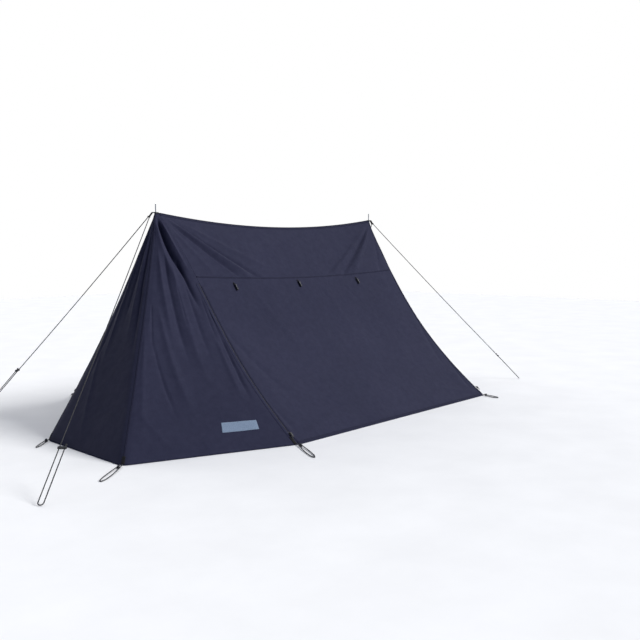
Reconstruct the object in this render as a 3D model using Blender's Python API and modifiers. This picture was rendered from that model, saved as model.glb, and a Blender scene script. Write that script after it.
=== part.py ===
"""Two-pole ridge tent: poles, pitched cloth panels, guys and pegging loops.

Metres, +Z up.  The ridge runs along X, the poles stand on X, the front is -Y.
The back half of the cloth is the front half turned round: each half bells out at one end.
Every sub-part is one named object with its own material.
"""
import math

import bmesh
import bpy
from mathutils import Matrix, Vector

# ---------------------------------------------------------------- driving dimensions
RIDGE_HEIGHT = 1.500      # ground to the cloth's peak
RIDGE_LENGTH = 2.463      # pole to pole
RIDGE_SAG = 0.088         # how far the ridge hangs at mid length
HEM_LENGTH = 2.294        # length of a side wall's hem
HALF_WIDTH = 1.307        # ridge line to a side wall's hem
FOLD = 0.306              # share of a side's slope above the fold where its wall turns up
WALL_SAG = 0.100          # a side's hollow, square to its slope
EDGE_DRAW = 0.065         # how far a side's edges draw in along the ridge's direction
SHOULDER = (0.954, -0.888)  # corner of a half end that bells out, measured from the pole
BELLED = (("left", "front"), ("right", "back"))  # the half ends that bell out
END_REACH = 0.899         # end corner on the ridge line, measured from the pole
END_SAG = 0.035           # hollow of the end corners' lines
CLOTH = 0.0016            # cloth thickness
SEAM_GAP = 0.0015         # each panel stops this far short of a shared seam
FOLD_GAP = 0.003          # the same at a wall's fold line, to clear the swing

TUBE_RADIUS = 0.011
TUBE_WALL = 0.0014
TUBE_TOP = 1.490
POLE_JOINT = 0.752        # height where the two pole sections meet
FOOT_RADIUS = 0.015
PIN_RADIUS = 0.004
PIN_TOP = 1.562
WASHER_RADIUS = 0.024
TOUCH = 0.0003            # gap kept where two pieces rest on each other

GUY_DIAMETER = 0.006
STRAND_SPACING = 0.030    # the two strands of a guy below its tensioner
LOOP_DIAMETER = 0.006
TAB_WIDTH = 0.010         # sewn webbing tab that a toggle hangs on
TAB_LENGTH = 0.020
TOGGLE_RADIUS = 0.007
TOGGLE_LENGTH = 0.048
TOGGLE_PLACES = (-0.82, -0.14, 0.59)

# Where each guy is pegged, and how far down the guy its tensioner sits.
GUYS = {
    "left_front": (Vector((-2.871, -1.197, 0.004)), 0.86),
    "left_back": (Vector((-1.982, 1.200, 0.004)), 0.78),
    "right_front": (Vector((2.149, -1.107, 0.004)), 0.86),
    "right_back": (Vector((2.149, 1.107, 0.004)), 0.86),
}

# Pegging loops: hem corner, direction on the ground, length and half width.
PEG_LOOPS = {
    "left_front_door": ("door", Vector((-0.51, -0.86, 0)), 0.330, 0.012),
    "left_front_corner": ("corner", Vector((-0.82, -0.57, 0)), 0.310, 0.013),
    "left_end": ("end", Vector((-0.78, -0.62, 0)), 0.185, 0.007),
    "left_back_door": ("door", Vector((0.75, 0.66, 0)), 0.150, 0.017),
    "right_front_door": ("door", Vector((-0.20, -0.98, 0)), 0.150, 0.017),
    "right_back_door": ("door", Vector((0.51, 0.86, 0)), 0.330, 0.012),
    "right_back_corner": ("corner", Vector((0.82, 0.57, 0)), 0.310, 0.013),
    "right_end": ("end", Vector((0.78, 0.62, 0)), 0.185, 0.007),
}

SLOPE = Vector((0, -HALF_WIDTH, -RIDGE_HEIGHT)).normalized()
INWARD = Vector((0, -SLOPE.z, SLOPE.y))   # square to the front slope, into the tent
END_TOP = 0.030                           # slope fraction where the end panels start
YOKE_TOP = 0.008


# ---------------------------------------------------------------- scene helpers
def clear_scene():
    for old in list(bpy.data.objects):
        bpy.data.objects.remove(old, do_unlink=True)


def new_collection(name):
    collection = bpy.data.collections.new(name)
    bpy.context.scene.collection.children.link(collection)
    return collection


def material(name, colour, roughness, metallic=0.0):
    mat = bpy.data.materials.new(name)
    mat.use_nodes = True
    shader = mat.node_tree.nodes["Principled BSDF"]
    shader.inputs["Base Color"].default_value = (*colour, 1.0)
    shader.inputs["Roughness"].default_value = roughness
    shader.inputs["Metallic"].default_value = metallic
    return mat


def add_object(name, data, mat, parent=None):
    data.materials.clear()
    data.materials.append(mat)
    obj = bpy.data.objects.new(name, data)
    PARTS.objects.link(obj)
    if parent:
        obj.parent = parent
    return obj


def mesh_from(name, bm):
    bmesh.ops.recalc_face_normals(bm, faces=bm.faces)
    mesh = bpy.data.meshes.new(name)
    bm.to_mesh(mesh)
    bm.free()
    return mesh


def pivot(name, place):
    """Empty on a joint's axis; the moving pieces are parented to it."""
    empty = bpy.data.objects.new(name, None)
    empty.location = place
    PARTS.objects.link(empty)
    return empty


# ---------------------------------------------------------------- shape helpers
def cloth(name, surface, columns, rows, mat, thickness=CLOTH, origin=None, parent=None):
    """Thin closed panel: a grid laid on surface(u, v), both 0 to 1, then thickened."""
    bm = bmesh.new()
    bmesh.ops.create_grid(bm, x_segments=columns, y_segments=rows, size=0.5)
    shift = origin or Vector((0, 0, 0))
    for vert in bm.verts:
        vert.co = surface(vert.co.x + 0.5, vert.co.y + 0.5) - shift
    obj = add_object(name, mesh_from(name, bm), mat, parent)
    if origin and not parent:
        obj.location = origin
    solid = obj.modifiers.new("Thickness", "SOLIDIFY")
    solid.thickness = thickness
    solid.offset = 0
    solid.use_even_offset = True
    return obj


def turned(name, profile, place, mat, steps=24, direction=Vector((0, 0, 1)), parent=None):
    """Solid of revolution of (radius, height) points about direction, through place."""
    bm = bmesh.new()
    verts = [bm.verts.new((radius, 0, height)) for radius, height in profile]
    edges = [bm.edges.new(pair) for pair in zip(verts, verts[1:])]
    if all(radius > 1e-6 for radius, height in profile):
        edges.append(bm.edges.new((verts[-1], verts[0])))
    bmesh.ops.spin(bm, geom=verts + edges, cent=(0, 0, 0), axis=(0, 0, 1),
                   angle=2 * math.pi, steps=steps, use_merge=True)
    bmesh.ops.remove_doubles(bm, verts=bm.verts, dist=1e-5)
    turn = Vector((0, 0, 1)).rotation_difference(direction).to_matrix().to_4x4()
    bmesh.ops.transform(bm, matrix=turn, verts=bm.verts)
    obj = add_object(name, mesh_from(name, bm), mat, parent)
    obj.location = place
    return obj


def cord(name, route, diameter, mat, parent=None):
    """Round cord of one poly spline through the route's points."""
    curve = bpy.data.curves.new(name, "CURVE")
    curve.dimensions = "3D"
    curve.bevel_depth = diameter / 2
    curve.bevel_resolution = 2
    curve.use_fill_caps = True
    spline = curve.splines.new("POLY")
    spline.points.add(len(route) - 1)
    for point, place in zip(spline.points, route):
        point.co = (*place, 1)
    return add_object(name, curve, mat, parent)


def run(start, end, count):
    """Evenly spaced points from start up to, but not including, end."""
    return [start.lerp(end, i / count) for i in range(count)]


# ---------------------------------------------------------------- the tent's surfaces
def hang(v):
    """How far cloth hollows at slope fraction v: 0 at the peak and the hem, at most 1."""
    return math.sin(math.pi * v ** 1.3)


def draw(v):
    """How far a side edge draws in at slope fraction v: most at a quarter of the way down."""
    return math.sin(math.pi * v ** 0.6)


def ridge_z(x):
    return RIDGE_HEIGHT - RIDGE_SAG * (1 - (2 * x / RIDGE_LENGTH) ** 2)


def door_edge(v):
    """Edge shared by a side wall and an end, at the corner with x > 0 and y < 0."""
    along = RIDGE_LENGTH / 2 + (HEM_LENGTH - RIDGE_LENGTH) / 2 * v - EDGE_DRAW * draw(v)
    point = Vector((along, -HALF_WIDTH * v, RIDGE_HEIGHT * (1 - v)))
    return point + INWARD * WALL_SAG * hang(v)


def end_line(corner):
    """Line from the peak with x > 0 down to a corner of its end, slightly hollow."""
    reach = Vector((corner[0], corner[1], 0))

    def line(v):
        peak = Vector((RIDGE_LENGTH / 2, 0, RIDGE_HEIGHT * (1 - v)))
        return peak + reach * v - reach.normalized() * END_SAG * hang(v)
    return line


def flip(point, side_x, side_y):
    return Vector((point.x * side_x, point.y * side_y, point.z))


HEM = 1 - 0.0009 / RIDGE_HEIGHT           # slope fraction of the hems
FOLD_LINE = door_edge(FOLD)               # its y and z hold all along the fold


def end_panel(first, second, side_x, side_y):
    """Surface between two corner lines of an end, short of both seams."""
    def surface(u, v):
        down = END_TOP + (HEM - END_TOP) * v
        a, b = first(down), second(down)
        inset = SEAM_GAP / (b - a).length
        return flip(a.lerp(b, inset + (1 - 2 * inset) * u), side_x, side_y)
    return surface


def yoke(side_y):
    """Upper part of a side, from the ridge down to the fold line."""
    def surface(u, v):
        down = YOKE_TOP + (FOLD - FOLD_GAP / 2 - YOKE_TOP) * v
        clear = 0.020 * max(0.0, 1 - (down - YOKE_TOP) / END_TOP)
        edge = door_edge(down)
        x = (2 * u - 1) * (edge.x - SEAM_GAP - clear)
        sag = (RIDGE_HEIGHT - ridge_z(x)) * (1 - down / FOLD)
        return Vector((x, -side_y * edge.y, edge.z - sag))
    return surface


def wall(side_y):
    """Lower part of a side, from the fold line to the hem."""
    def surface(u, v):
        top = FOLD + FOLD_GAP / 2
        down = top + (HEM - 0.001 - top) * v
        edge = door_edge(down)
        x = (2 * u - 1) * (edge.x - SEAM_GAP)
        return flip(Vector((x, edge.y, edge.z)), 1, -side_y)
    return surface


# ---------------------------------------------------------------- poles and peaks
def build_pole(side, x, mats):
    base = Vector((x, 0, 0))
    inner = TUBE_RADIUS - TUBE_WALL
    spigot = inner - TOUCH
    turned(f"{side}_pole_foot",
           [(0, 0), (FOOT_RADIUS, 0), (FOOT_RADIUS, 0.030), (FOOT_RADIUS - 0.002, 0.040),
            (TUBE_RADIUS + TOUCH, 0.040), (TUBE_RADIUS + TOUCH, 0.009), (0, 0.009)],
           base, mats["rubber"])
    turned(f"{side}_pole_lower",
           [(TUBE_RADIUS, 0.0093), (TUBE_RADIUS, POLE_JOINT - 0.004),
            (spigot, POLE_JOINT), (spigot, POLE_JOINT + 0.100),
            (spigot - TUBE_WALL, POLE_JOINT + 0.100), (spigot - TUBE_WALL, 0.0093)],
           base, mats["steel"])
    turned(f"{side}_pole_upper",
           [(inner, POLE_JOINT + TOUCH), (TUBE_RADIUS, POLE_JOINT + TOUCH),
            (TUBE_RADIUS, TUBE_TOP), (inner, TUBE_TOP)],
           base, mats["steel"])
    collar = TUBE_TOP + TOUCH
    turned(f"{side}_pole_pin",
           [(0, TUBE_TOP - 0.030), (spigot, TUBE_TOP - 0.030), (spigot, collar),
            (TUBE_RADIUS, collar), (TUBE_RADIUS, collar + 0.003), (PIN_RADIUS, collar + 0.003),
            (PIN_RADIUS, PIN_TOP - 0.006), (PIN_RADIUS * 0.6, PIN_TOP - 0.001), (0, PIN_TOP)],
           base, mats["steel"])
    washer = collar + 0.003 + TOUCH
    turned(f"{side}_peak_eyelet",
           [(PIN_RADIUS + TOUCH, washer), (WASHER_RADIUS, washer),
            (WASHER_RADIUS, washer + 0.002), (WASHER_RADIUS - 0.003, washer + 0.003),
            (PIN_RADIUS + TOUCH, washer + 0.003)],
           base, mats["eyelet"])
    return washer + 0.003 + TOUCH


def build_guy_strap(side, x, height, mats):
    """Webbing strap held by the pin; it bends down over the end and takes both guys."""
    outward = math.copysign(1, x)
    thickness = 0.0025
    flat = 0.028
    drop = math.radians(48)
    length = 0.085

    def surface(u, v):
        along = -0.017 + length * u
        beyond = max(0.0, along - flat)
        reach = min(along, flat) + beyond * math.cos(drop)
        return Vector((x + outward * reach, (v - 0.5) * 0.022,
                       height + thickness / 2 - beyond * math.sin(drop)))

    strap = cloth(f"{side}_guy_strap", surface, 10, 2, mats["webbing"], thickness)
    bpy.ops.mesh.primitive_cylinder_add(vertices=24, radius=PIN_RADIUS + 2 * TOUCH,
                                        depth=0.02, location=(x, 0, height))
    cutter = bpy.context.object
    cutter.name = f"{side}_guy_strap_hole"
    for collection in list(cutter.users_collection):
        collection.objects.unlink(cutter)
    CUTTERS.objects.link(cutter)
    cut = strap.modifiers.new("Pin hole", "BOOLEAN")
    cut.operation = "DIFFERENCE"
    cut.solver = "EXACT"
    cut.object = cutter
    return surface(1.0, 0.5)


# ---------------------------------------------------------------- guys
def build_guy(name, strap_end, peg, share, mats):
    """One cord: from the strap to the ground, round the peg and back to its tensioner."""
    sideways = math.copysign(1, peg.y)
    top = strap_end + Vector((math.copysign(0.004, peg.x), sideways * 0.007, -0.003))
    down = (peg - top).normalized()
    across = down.cross(Vector((0, 0, 1))).normalized() * STRAND_SPACING / 2
    centre = peg - down * STRAND_SPACING / 2
    main_end = centre + across
    back_end = centre - across
    main_dir = (main_end - top).normalized()
    hold = top.lerp(main_end, share)

    route = []
    for i in range(14):
        point = top.lerp(hold, i / 14)
        point.z -= 0.008 * 4 * (i / 14) * (1 - i / 14)
        route.append(point)
    below = 5 if share > 0.8 else 10
    route += run(hold, main_end, below)
    for i in range(9):
        angle = math.pi * i / 8
        route.append(centre + across * math.cos(angle)
                     + down * STRAND_SPACING / 2 * math.sin(angle))
    tail = back_end - main_dir * ((main_end - hold).length + 0.020)
    route += run(back_end, tail, below)[1:] + [tail]
    cord(f"{name}_guy", route, GUY_DIAMETER, mats["cord"])

    middle = hold - across
    build_tensioner(f"{name}_tensioner", middle, main_dir, across.normalized(), mats)
    return main_dir


def build_tensioner(name, middle, along, across, mats):
    """Flat bar across the two strands, with a hole for each."""
    normal = across.cross(along).normalized()
    frame = Matrix((across, along, normal)).transposed().to_4x4()
    bm = bmesh.new()
    bmesh.ops.create_cube(bm, size=1)
    bmesh.ops.scale(bm, vec=(0.048, 0.014, 0.012), verts=bm.verts)
    bmesh.ops.bevel(bm, geom=bm.edges[:], offset=0.002, segments=2, affect="EDGES")
    bmesh.ops.transform(bm, matrix=frame, verts=bm.verts)
    bar = add_object(name, mesh_from(name, bm), mats["plastic"])
    bar.location = middle
    for side in (-1, 1):
        hole = bmesh.new()
        bmesh.ops.create_cone(hole, cap_ends=True, segments=16, radius1=GUY_DIAMETER / 2 + 0.0007,
                              radius2=GUY_DIAMETER / 2 + 0.0007, depth=0.03)
        bmesh.ops.transform(hole, matrix=Matrix.Rotation(math.pi / 2, 4, "X"), verts=hole.verts)
        bmesh.ops.transform(hole, matrix=frame, verts=hole.verts)
        cutter = bpy.data.objects.new(f"{name}_hole", mesh_from(f"{name}_hole", hole))
        cutter.location = middle + across * side * STRAND_SPACING / 2
        CUTTERS.objects.link(cutter)
        cut = bar.modifiers.new("Strand hole", "BOOLEAN")
        cut.operation = "DIFFERENCE"
        cut.solver = "EXACT"
        cut.object = cutter


# ---------------------------------------------------------------- pegging loops
def build_peg_loop(name, corner, outward, length, half_width, mats):
    """Teardrop of cord lying on the ground, both ends at the hem's corner."""
    outward = outward.normalized()
    beside = Vector((-outward.y, outward.x, 0))
    start = Vector((corner.x, corner.y, 0)) + outward * 0.006
    rest = LOOP_DIAMETER / 2 + TOUCH
    route = []
    for i in range(23):
        t = i / 22
        reach = length * math.sin(math.pi * t)
        across = -half_width * math.sin(2 * math.pi * t) + (t - 0.5) * 0.014
        lift = rest + 0.006 * (1 - math.sin(math.pi * t)) ** 3
        route.append(start + outward * reach + beside * across + Vector((0, 0, lift)))
    cord(f"{name}_peg_loop", route, LOOP_DIAMETER, mats["cord"])


def build_peg_loops(mats):
    corners = {"door": door_edge(HEM), "corner": end_line(SHOULDER)(HEM),
               "end": end_line((END_REACH, 0))(HEM)}
    for name, (which, outward, length, half_width) in PEG_LOOPS.items():
        side_x = 1 if "right" in name else -1
        side_y = -1 if "back" in name else 1
        build_peg_loop(name, flip(corners[which], side_x, side_y), outward, length,
                       half_width, mats)


# ---------------------------------------------------------------- toggles and zips
def build_toggles(face, side_y, hinge, mats):
    """Toggles on sewn tabs that hang against the wall just under the fold line."""
    top = wall(side_y)(0.5, 0.006)
    low = wall(side_y)(0.5, 0.080)
    lie = (low - top).normalized()
    out = Vector((0, side_y, 0))
    out = (out - lie * out.dot(lie)).normalized()
    for letter, x in zip("abc", TOGGLE_PLACES):
        start = Vector((x, top.y, top.z)) + out * 0.0030
        head = start + lie * (TAB_LENGTH + TOUCH) + out * 0.0060
        swing = pivot(f"{face}_toggle_{letter}_pivot", start)
        swing.parent = hinge
        swing.location = start - hinge.location

        def tab(u, v):
            down = TAB_LENGTH * u
            return (lie * down + out * 0.0060 * u * u * (3 - 2 * u)
                    + Vector(((v - 0.5) * TAB_WIDTH, 0, 0)))
        cloth(f"{face}_toggle_tab_{letter}", tab, 5, 1, mats["webbing"], 0.0020, parent=swing)
        turned(f"{face}_toggle_{letter}",
               [(0, 0), (0.004, 0), (TOGGLE_RADIUS, 0.005), (TOGGLE_RADIUS, TOGGLE_LENGTH - 0.005),
                (0.004, TOGGLE_LENGTH), (0, TOGGLE_LENGTH)],
               head - start, mats["toggle"], 16, lie, swing)


def build_zip_slider(name, side_x, side_y, mats):
    """Slider and its puller as one pressed piece, riding over the seam near the hem."""
    low, high = door_edge(0.955), door_edge(0.800)
    travel = flip(high - low, side_x, side_y).normalized()
    out = Vector((0.3 * side_x, -side_y, 0.75))
    out = (out - travel * out.dot(travel)).normalized()
    place = flip(low, side_x, side_y) + out * 0.0075
    outline = [(-0.012, -0.002), (0.010, -0.002), (0.012, 0.0), (0.010, 0.004), (0.002, 0.006),
               (0.002, 0.010), (-0.030, 0.0065), (-0.030, 0.0045), (-0.004, 0.0060), (-0.012, 0.003)]
    bm = bmesh.new()
    face = bm.faces.new([bm.verts.new((x, -0.005, z)) for x, z in outline])
    grown = bmesh.ops.extrude_face_region(bm, geom=[face])
    moved = [item for item in grown["geom"] if isinstance(item, bmesh.types.BMVert)]
    bmesh.ops.translate(bm, vec=(0, 0.010, 0), verts=moved)
    frame = Matrix((travel, out.cross(travel), out)).transposed().to_4x4()
    bmesh.ops.transform(bm, matrix=frame, verts=bm.verts)
    slider = add_object(name, mesh_from(name, bm), mats["steel"])
    slider.location = place


# ---------------------------------------------------------------- assembly
def build_side(face, side_y, mats):
    """One long side: fixed yoke, lifting wall, and the wall's toggles."""
    cloth(f"{face}_yoke", yoke(side_y), 16, 5, mats["cloth"])
    hinge = pivot(f"{face}_wall_pivot", Vector((0, -side_y * FOLD_LINE.y, FOLD_LINE.z)))
    cloth(f"{face}_wall", wall(side_y), 16, 12, mats["cloth"],
          origin=Vector(hinge.location), parent=hinge)
    build_toggles(face, side_y, hinge, mats)


def build_end(side, side_x, mats):
    """Cloth from a pole's peak to the ground: two gores where it bells out, else one flap."""
    shoulder = end_line(SHOULDER)
    middle = end_line((END_REACH, 0))
    for side_y, face in ((1, "front"), (-1, "back")):
        if (side, face) in BELLED:
            panels = {"door_gore": (door_edge, shoulder), "end_gore": (shoulder, middle)}
        else:
            panels = {"end_flap": (door_edge, middle)}
        for name, lines in panels.items():
            cloth(f"{side}_{face}_{name}", end_panel(*lines, side_x, side_y), 5, 12,
                  mats["cloth"])
        build_zip_slider(f"{side}_{face}_zip_slider", side_x, side_y, mats)


def build_ridge_tape(mats):
    """Folded tape sewn over the ridge."""
    half = RIDGE_LENGTH / 2 - 0.030

    def surface(u, v):
        x = (2 * u - 1) * half
        y = (v - 0.5) * 0.050
        top = ridge_z(x)
        steep = 0.92 * (top - FOLD_LINE.z) / -FOLD_LINE.y
        return Vector((x, y, top + 0.005 - steep * abs(y)))
    cloth("ridge_tape", surface, 16, 2, mats["tape"], 0.0012)


def build_tent():
    mats = {
        "cloth": material("slate blue cloth", (0.043, 0.044, 0.076), 0.85),
        "tape": material("ridge tape", (0.020, 0.021, 0.036), 0.80),
        "webbing": material("black webbing", (0.012, 0.012, 0.014), 0.75),
        "cord": material("dark cord", (0.030, 0.032, 0.036), 0.80),
        "steel": material("zinc plated steel", (0.560, 0.570, 0.580), 0.35, 1.0),
        "eyelet": material("blackened eyelet", (0.050, 0.050, 0.052), 0.45, 1.0),
        "rubber": material("black rubber", (0.018, 0.018, 0.018), 0.75),
        "plastic": material("dark plastic", (0.025, 0.026, 0.028), 0.50),
        "toggle": material("black toggle", (0.014, 0.014, 0.015), 0.45),
    }
    strap_ends = {}
    for side, side_x in (("left", -1), ("right", 1)):
        x = side_x * RIDGE_LENGTH / 2
        height = build_pole(side, x, mats)
        strap_ends[side] = build_guy_strap(side, x, height, mats)
        build_end(side, side_x, mats)
    build_ridge_tape(mats)
    build_side("front", -1, mats)
    build_side("back", 1, mats)
    for name, (peg, share) in GUYS.items():
        build_guy(name, strap_ends[name.split("_")[0]], peg, share, mats)
    build_peg_loops(mats)


clear_scene()
PARTS = new_collection("a_frame_tent")
CUTTERS = new_collection("cutters")
CUTTERS.hide_render = True
build_tent()
for cutter_object in CUTTERS.objects:
    cutter_object.hide_render = True
    cutter_object.display_type = "WIRE"
bpy.context.view_layer.update()
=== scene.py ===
"""Looks of the two-pole ridge tent: cloth sheets with their folds, seams, zips, cords, knots.

Metres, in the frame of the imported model: the ridge runs along X and the front is -Y. A side is
one of the two long cloths, described by u along it and v down it. An end is a cloth that closes
the tent behind a pole, described by phi round it and v down it.
"""
import math

import bpy
import numpy as np
from mathutils import Matrix, Vector, noise


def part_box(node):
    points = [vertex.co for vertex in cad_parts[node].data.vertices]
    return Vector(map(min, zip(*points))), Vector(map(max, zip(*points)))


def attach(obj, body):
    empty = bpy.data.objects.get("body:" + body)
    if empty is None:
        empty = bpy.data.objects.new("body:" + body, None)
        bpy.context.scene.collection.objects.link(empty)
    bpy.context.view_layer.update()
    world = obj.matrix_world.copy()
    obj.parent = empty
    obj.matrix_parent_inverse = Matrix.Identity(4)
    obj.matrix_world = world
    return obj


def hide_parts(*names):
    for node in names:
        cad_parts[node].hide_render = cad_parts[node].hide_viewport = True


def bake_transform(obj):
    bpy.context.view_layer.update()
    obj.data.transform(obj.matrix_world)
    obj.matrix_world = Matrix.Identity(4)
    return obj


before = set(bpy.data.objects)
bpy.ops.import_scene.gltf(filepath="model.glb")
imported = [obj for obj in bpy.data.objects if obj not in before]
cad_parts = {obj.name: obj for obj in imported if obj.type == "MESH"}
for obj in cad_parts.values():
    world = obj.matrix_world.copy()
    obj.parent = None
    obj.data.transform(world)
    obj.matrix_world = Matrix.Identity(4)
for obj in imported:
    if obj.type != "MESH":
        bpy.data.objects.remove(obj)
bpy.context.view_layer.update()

# ---------------------------------------- the tent's own sizes
POLE_X = sum(corner[0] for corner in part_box("right_pole_upper")) / 2
RIDGE_LENGTH = 2 * POLE_X
RIDGE_HEIGHT = 1.500
RIDGE_SAG = 0.088
HEM_LENGTH = 2.294
HALF_WIDTH = 1.307
FOLD = 0.306                # share of the slope above the line where a side wall lifts
WALL_SAG = 0.100            # a side's hollow, square to its slope
EDGE_DRAW = 0.065           # how far a side's edge is drawn in along the ridge's direction
SHOULDER = (0.954, -0.888)  # ground corner of a belled half, from its pole's foot
END_REACH = 0.899           # ground corner at an end's middle, from its pole's foot
END_SAG = 0.035             # hollow of the end corners' lines
EYELET_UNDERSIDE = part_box("left_peak_eyelet")[0][2]
SLOPE_LENGTH = math.hypot(HALF_WIDTH, RIDGE_HEIGHT)
CLOTH_THICKNESS = 0.0009

# The cloth's rise over a pole's shoulder, near a peak.
PEAK_LIFT = 0.0065
PEAK_RADIUS = 0.012
PEAK_SPREAD = 0.009
PEAK_REACH = 0.10
PEAK_CLEARANCE = 0.0004

SIDE_COLUMNS = 250
END_COLUMNS = 253
UV_ACROSS = 1.2             # metres of weave in one unit of u or phi
WEAVE_PITCH = 0.0012

# Widths and heights of the strips sewn on the cloth, and how far in from an edge they lie.
HEM_SHARE = 0.9915          # v of the hems' middle line
HEM_SIZE = (0.026, 0.0012)
SIDE_SEAM_SIZE = (0.013, 0.0012)
BINDING_SIZE = (0.016, 0.0011)
BINDING_SETBACK = 0.012
ZIP_TAPE_SIZE = (0.018, 0.0010)
ZIP_TAPE_SETBACK = 0.0075
ZIP_TAPE_DEPTH = 0.0045     # the tape lies behind the wall's edge
CORNER_SEAM_SIZE = (0.012, 0.0011)
ROOF_SEAM_SIZE = (0.012, 0.0012)
ROOF_SEAM_SETBACK = 0.008
COIL_SIZE = (0.0045, 0.0018)
COIL_SETBACK = 0.0035
STORM_FLAP_SIZE = (0.022, 0.0022)
STORM_FLAP_SETBACK = 0.0175
CORNER_TAB_SIZE = (0.020, 0.0024)

GUY_DIAMETER = 0.006
GUY_KNOT = 0.011
STRAND_SPACING = 0.030      # the two strands of a guy below its tensioner
GUY_SAG = 0.008             # of a guy between its strap and its tensioner
GUY_TAIL = 0.020            # of cord past the tensioner
STRAP_BEND = 0.028          # from the pole's axis to where the strap bends down
STRAP_FALL = 0.085 - 0.017 - STRAP_BEND
STRAP_LEAN = math.radians(48)
LOOP_DIAMETER = 0.006
LOOP_KNOT = 0.017
LOOP_MOUTH = 0.014          # between a loop's two ends

# Each guy's ground point and how far down the guy its tensioner sits.
GUYS = {
    "left_front": (Vector((-2.871, -1.197, 0.004)), 0.86),
    "left_back": (Vector((-1.982, 1.200, 0.004)), 0.78),
    "right_front": (Vector((2.149, -1.107, 0.004)), 0.86),
    "right_back": (Vector((2.149, 1.107, 0.004)), 0.86),
}
# Each peg loop's corner of the hem, direction, reach and half width.
PEG_LOOPS = {
    "left_front_door": ("door", Vector((-0.51, -0.86, 0)), 0.330, 0.012),
    "left_front_corner": ("corner", Vector((-0.82, -0.57, 0)), 0.310, 0.013),
    "left_end": ("end", Vector((-0.78, -0.62, 0)), 0.185, 0.007),
    "left_back_door": ("door", Vector((0.75, 0.66, 0)), 0.150, 0.017),
    "right_front_door": ("door", Vector((-0.20, -0.98, 0)), 0.150, 0.017),
    "right_back_door": ("door", Vector((0.51, 0.86, 0)), 0.330, 0.012),
    "right_back_corner": ("corner", Vector((0.82, 0.57, 0)), 0.310, 0.013),
    "right_end": ("end", Vector((0.78, 0.62, 0)), 0.185, 0.007),
}
BELL_FACE = {"left": "front", "right": "back"}      # the half of each end that bells out
FLAP_FACE = {"left": "back", "right": "front"}      # the half that lies flat
END_TURN = {"left": np.array((-1, 1, 1)), "right": np.array((1, -1, 1))}

SLOPE = np.array((0.0, -HALF_WIDTH, -RIDGE_HEIGHT)) / SLOPE_LENGTH
INWARD = np.array((0.0, -SLOPE[2], SLOPE[1]))


# ---------------------------------------- shader helpers
class Shader:
    """A node material under construction, with short calls for the nodes it needs."""

    def __init__(self, name, roughness, metallic=0.0, sheen=0.0, specular=0.5):
        self.material = bpy.data.materials.new(name)
        self.material.use_nodes = True
        self.tree = self.material.node_tree
        self.surface = self.tree.nodes["Principled BSDF"]
        self.surface.inputs["Roughness"].default_value = roughness
        self.surface.inputs["Metallic"].default_value = metallic
        self.surface.inputs["Sheen Weight"].default_value = sheen
        self.surface.inputs["Sheen Roughness"].default_value = 0.5
        self.surface.inputs["Specular IOR Level"].default_value = specular

    def node(self, kind, **settings):
        """A new node with its settings made."""
        made = self.tree.nodes.new(kind)
        for name, value in settings.items():
            setattr(made, name, value)
        return made

    def link(self, source, target):
        self.tree.links.new(source, target)

    def coordinate(self, name):
        return self.node("ShaderNodeTexCoord").outputs[name]

    def split(self, vector):
        """X and Y of a vector."""
        made = self.node("ShaderNodeSeparateXYZ")
        self.link(vector, made.inputs[0])
        return made.outputs["X"], made.outputs["Y"]

    def math(self, operation, first, second=0.0):
        made = self.node("ShaderNodeMath", operation=operation)
        for socket, value in zip(made.inputs, (first, second)):
            if isinstance(value, (int, float)):
                socket.default_value = value
            else:
                self.link(value, socket)
        return made.outputs[0]

    def noise(self, vector, scale, detail=4.0, roughness=0.55):
        made = self.node("ShaderNodeTexNoise")
        made.inputs["Scale"].default_value = scale
        made.inputs["Detail"].default_value = detail
        made.inputs["Roughness"].default_value = roughness
        self.link(vector, made.inputs["Vector"])
        return made.outputs["Fac"]

    def ramp(self, factor, stops):
        made = self.node("ShaderNodeValToRGB")
        ramp = made.color_ramp
        while len(ramp.elements) < len(stops):
            ramp.elements.new(0.5)
        for element, (place, colour) in zip(ramp.elements, stops):
            element.position = place
            element.color = (*colour, 1)
        self.link(factor, made.inputs["Fac"])
        return made.outputs["Color"]

    def blend(self, factor, first, second, mode="MIX"):
        made = self.node("ShaderNodeMix", data_type="RGBA", blend_type=mode)
        if isinstance(factor, float):
            made.inputs[0].default_value = factor
        else:
            self.link(factor, made.inputs[0])
        for socket, value in zip((made.inputs[6], made.inputs[7]), (first, second)):
            if isinstance(value, tuple):
                socket.default_value = (*value, 1)
            else:
                self.link(value, socket)
        return made.outputs[2]

    def bump(self, height, strength, distance, before=None):
        made = self.node("ShaderNodeBump")
        made.inputs["Strength"].default_value = strength
        made.inputs["Distance"].default_value = distance
        self.link(height, made.inputs["Height"])
        if before:
            self.link(before, made.inputs["Normal"])
        return made.outputs["Normal"]

    def finish(self, colour, normal=None, roughness=None):
        if isinstance(colour, tuple):
            self.surface.inputs["Base Color"].default_value = (*colour, 1)
        else:
            self.link(colour, self.surface.inputs["Base Color"])
        if normal:
            self.link(normal, self.surface.inputs["Normal"])
        if roughness:
            self.link(roughness, self.surface.inputs["Roughness"])
        return self.material

    def weave(self, pitch):
        """Over-and-under height of a plain weave in UV metres, 0 to 1."""
        x, y = self.split(self.coordinate("UV"))
        turns = 2 * math.pi / (2 * pitch)
        across = self.math("SINE", self.math("MULTIPLY", x, turns))
        down = self.math("SINE", self.math("MULTIPLY", y, turns))
        return self.math("MULTIPLY_ADD", self.math("MULTIPLY", across, down), 0.5)


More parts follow.
